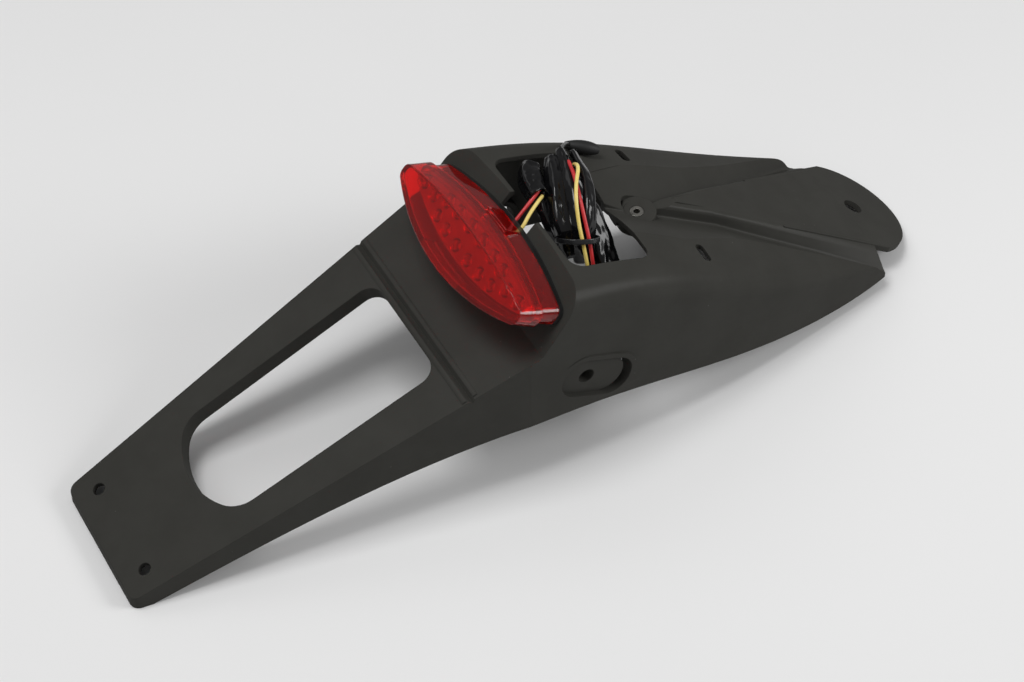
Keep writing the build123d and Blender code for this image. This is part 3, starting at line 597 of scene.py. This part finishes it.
def tube(name, rows, closed, pleats, twist):
    """A gathered run of sleeving that swells and narrows along its line, as a mesh."""
    made = smooth_line(name, [at(*row[:3]) for row in rows], steps=10)
    profile = pleat_profile(*pleats)
    for number, (point, row) in enumerate(zip(made.data.splines[0].points, rows)):
        point.radius = row[3]
        point.tilt = twist * number / len(rows)
    made.data.bevel_mode = "OBJECT"
    made.data.bevel_object = profile
    made.data.use_fill_caps = closed
    only(made)
    bpy.ops.object.convert(target="MESH")
    made = bpy.context.object
    bpy.data.objects.remove(profile)
    bpy.ops.object.mode_set(mode="EDIT")
    bpy.ops.mesh.select_all(action="SELECT")
    bpy.ops.mesh.remove_doubles(threshold=MERGE_DISTANCE * MM)
    bpy.ops.mesh.normals_make_consistent(inside=False)
    bpy.ops.object.mode_set(mode="OBJECT")
    return made


def crinkle(made, size, depth, along=None):
    """Presses uneven folds into a piece, drawn out along a direction where one is given."""
    texture = bpy.data.textures.new(made.name + "_folds", "CLOUDS")
    texture.noise_scale = size * MM
    guide = bpy.data.objects.new("fold_guide", None)
    bpy.context.collection.objects.link(guide)
    if along is not None:
        guide.rotation_euler = Vector(along).to_track_quat("X", "Z").to_euler()
        guide.scale = FOLD_STRETCH
    bpy.context.view_layer.update()
    apply(
        made,
        "DISPLACE",
        strength=depth * MM,
        mid_level=0.55,
        texture=texture,
        texture_coords="OBJECT",
        texture_coords_object=guide,
    )
    bpy.data.objects.remove(guide)


def hank():
    """The folded loom: several gathered runs of sleeving drawn together by the tie."""
    runs = [tube(name, HANK_RUNS[name], True, pleats, twist) for name, pleats, twist in HANK_PLEATS]
    made = runs[0]
    only(made)
    for run in runs:
        run.select_set(True)
    bpy.ops.object.join()
    made.name = "hank_sleeving"
    crinkle(made, size=11.0, depth=1.6)
    crinkle(made, size=4.5, depth=0.5, along=HANK_LIE)
    bpy.ops.object.shade_smooth()
    return dress(made, "loom_hank", "sleeve_black")


def sleeve_end():
    """The sleeve's open end, which the lamp leads go into."""
    made = tube("sleeve_mouth", SLEEVE_RUN, False, SLEEVE_PLEATS, SLEEVE_TWIST)
    crinkle(made, size=7.0, depth=1.8)
    apply(made, "SOLIDIFY", thickness=SLEEVE_WALL * MM, offset=-1.0)
    bpy.ops.object.shade_smooth()
    return dress(made, "loom_sleeve", "sleeve_black")


def tie_strap():
    """The flat tie, drawn round the hank and the wires on it, with its latch behind."""
    middle = at(*TIE_MIDDLE)
    side = Vector((0.871, -0.491, 0.0))
    front = Vector((-0.389, -0.691, 0.607)).normalized()
    turn = turned(side, front, side.cross(front))
    bpy.ops.mesh.primitive_cube_add(size=1.0)
    latch = bpy.context.object
    latch_size = Matrix.Diagonal((*(side_length * MM for side_length in LATCH_SIZE), 1.0))
    latch.matrix_world = Matrix.Translation(middle - front * LATCH_OFFSET * MM) @ turn @ latch_size
    bpy.ops.mesh.primitive_cylinder_add(
        vertices=72, radius=1.0, depth=1.0, end_fill_type="NOTHING"
    )
    made = bpy.context.object
    made.name = "tie_strap"
    loop_size = Matrix.Diagonal(
        (TIE_HALF_WIDTH * MM, TIE_HALF_DEPTH * MM, TIE_STRAP_WIDTH * MM, 1.0)
    )
    made.matrix_world = Matrix.Translation(middle) @ turn @ loop_size
    for piece in (latch, made):
        only(piece)
        bpy.ops.object.transform_apply(location=True, rotation=True, scale=True)
    apply(made, "SOLIDIFY", thickness=TIE_STRAP_THICKNESS * MM, offset=1.0)
    latch.select_set(True)
    bpy.ops.object.join()
    apply(made, "BEVEL", width=TIE_EDGE * MM, segments=2)
    return dress(made, "cable_tie", "tie_black")


leads = {node: wire(node) for node in WIRE_ROUTES}
hank_piece = hank()
sleeve_piece = sleeve_end()
tie_piece = tie_strap()


# Floor, light and camera

FLOOR_SIZE = 14.0
FLOOR_DROP = -0.0002
# Soft lamps: name, place, width and power
SOFTBOXES = (
    ("overhead_box", (-0.35, 0.08, 1.58), 0.6, 11.0),
    ("right_box", (1.2, -0.85, 0.88), 0.7, 12.0),
    ("left_box", (-0.95, 0.0, 1.35), 0.6, 2.0),
    ("back_box", (-0.4, 0.9, 1.25), 0.8, 1.6),
)
LIGHT_TARGET = Vector((0.0, 0.0, 0.05))
ROOM_STRENGTH = 0.28
PICTURE_WIDTH = 1024.0
FOCAL_LENGTH_PIXELS = 2480.0
SENSOR_WIDTH = 36.0
CAMERA_PLACE = Vector((-0.40508, -0.713099, 0.984431))
CAMERA_RIGHT = Vector((0.87116, -0.49099, 0.0))
CAMERA_FORWARD = Vector((0.31894, 0.56590, -0.76029))


def studio_floor():
    """A plain pale sheet under the part."""
    bpy.ops.mesh.primitive_plane_add(size=FLOOR_SIZE, location=(0.0, 0.0, FLOOR_DROP))
    floor = bpy.context.object
    floor.name = "studio_floor"
    finish = Finish("floor_paper", Roughness=0.85, IOR=1.35)
    finish.tint(finish.noise(3.0), (0.8, 0.8, 0.8), (0.815, 0.815, 0.815))
    floor.data.materials.append(finish.material)


def softbox(name, place, width, power):
    """A soft square lamp that points at the part."""
    data = bpy.data.lights.new(name, "AREA")
    data.shape = "SQUARE"
    data.size = width
    data.energy = power
    made = bpy.data.objects.new(name, data)
    bpy.context.collection.objects.link(made)
    made.location = place
    made.rotation_euler = (LIGHT_TARGET - Vector(place)).to_track_quat("-Z", "Y").to_euler()


def studio_room():
    """Even room light that fills the shadows."""
    world = bpy.data.worlds.new("studio_room")
    world.use_nodes = True
    background = world.node_tree.nodes["Background"]
    background.inputs["Color"].default_value = (1.0, 1.0, 1.0, 1.0)
    background.inputs["Strength"].default_value = ROOM_STRENGTH
    bpy.context.scene.world = world


def photo_camera():
    """The camera at the photo's place and angle."""
    data = bpy.data.cameras.new("photo_camera")
    data.sensor_fit = "HORIZONTAL"
    data.sensor_width = SENSOR_WIDTH
    data.lens = FOCAL_LENGTH_PIXELS / PICTURE_WIDTH * SENSOR_WIDTH
    made = bpy.data.objects.new("photo_camera", data)
    bpy.context.collection.objects.link(made)
    turn = turned(CAMERA_RIGHT, CAMERA_RIGHT.cross(CAMERA_FORWARD), -CAMERA_FORWARD)
    made.matrix_world = Matrix.Translation(CAMERA_PLACE) @ turn
    return made


studio_floor()
for lamp in SOFTBOXES:
    softbox(*lamp)
studio_room()
bpy.context.scene.camera = photo_camera()
bpy.context.scene.view_settings.view_transform = "Standard"
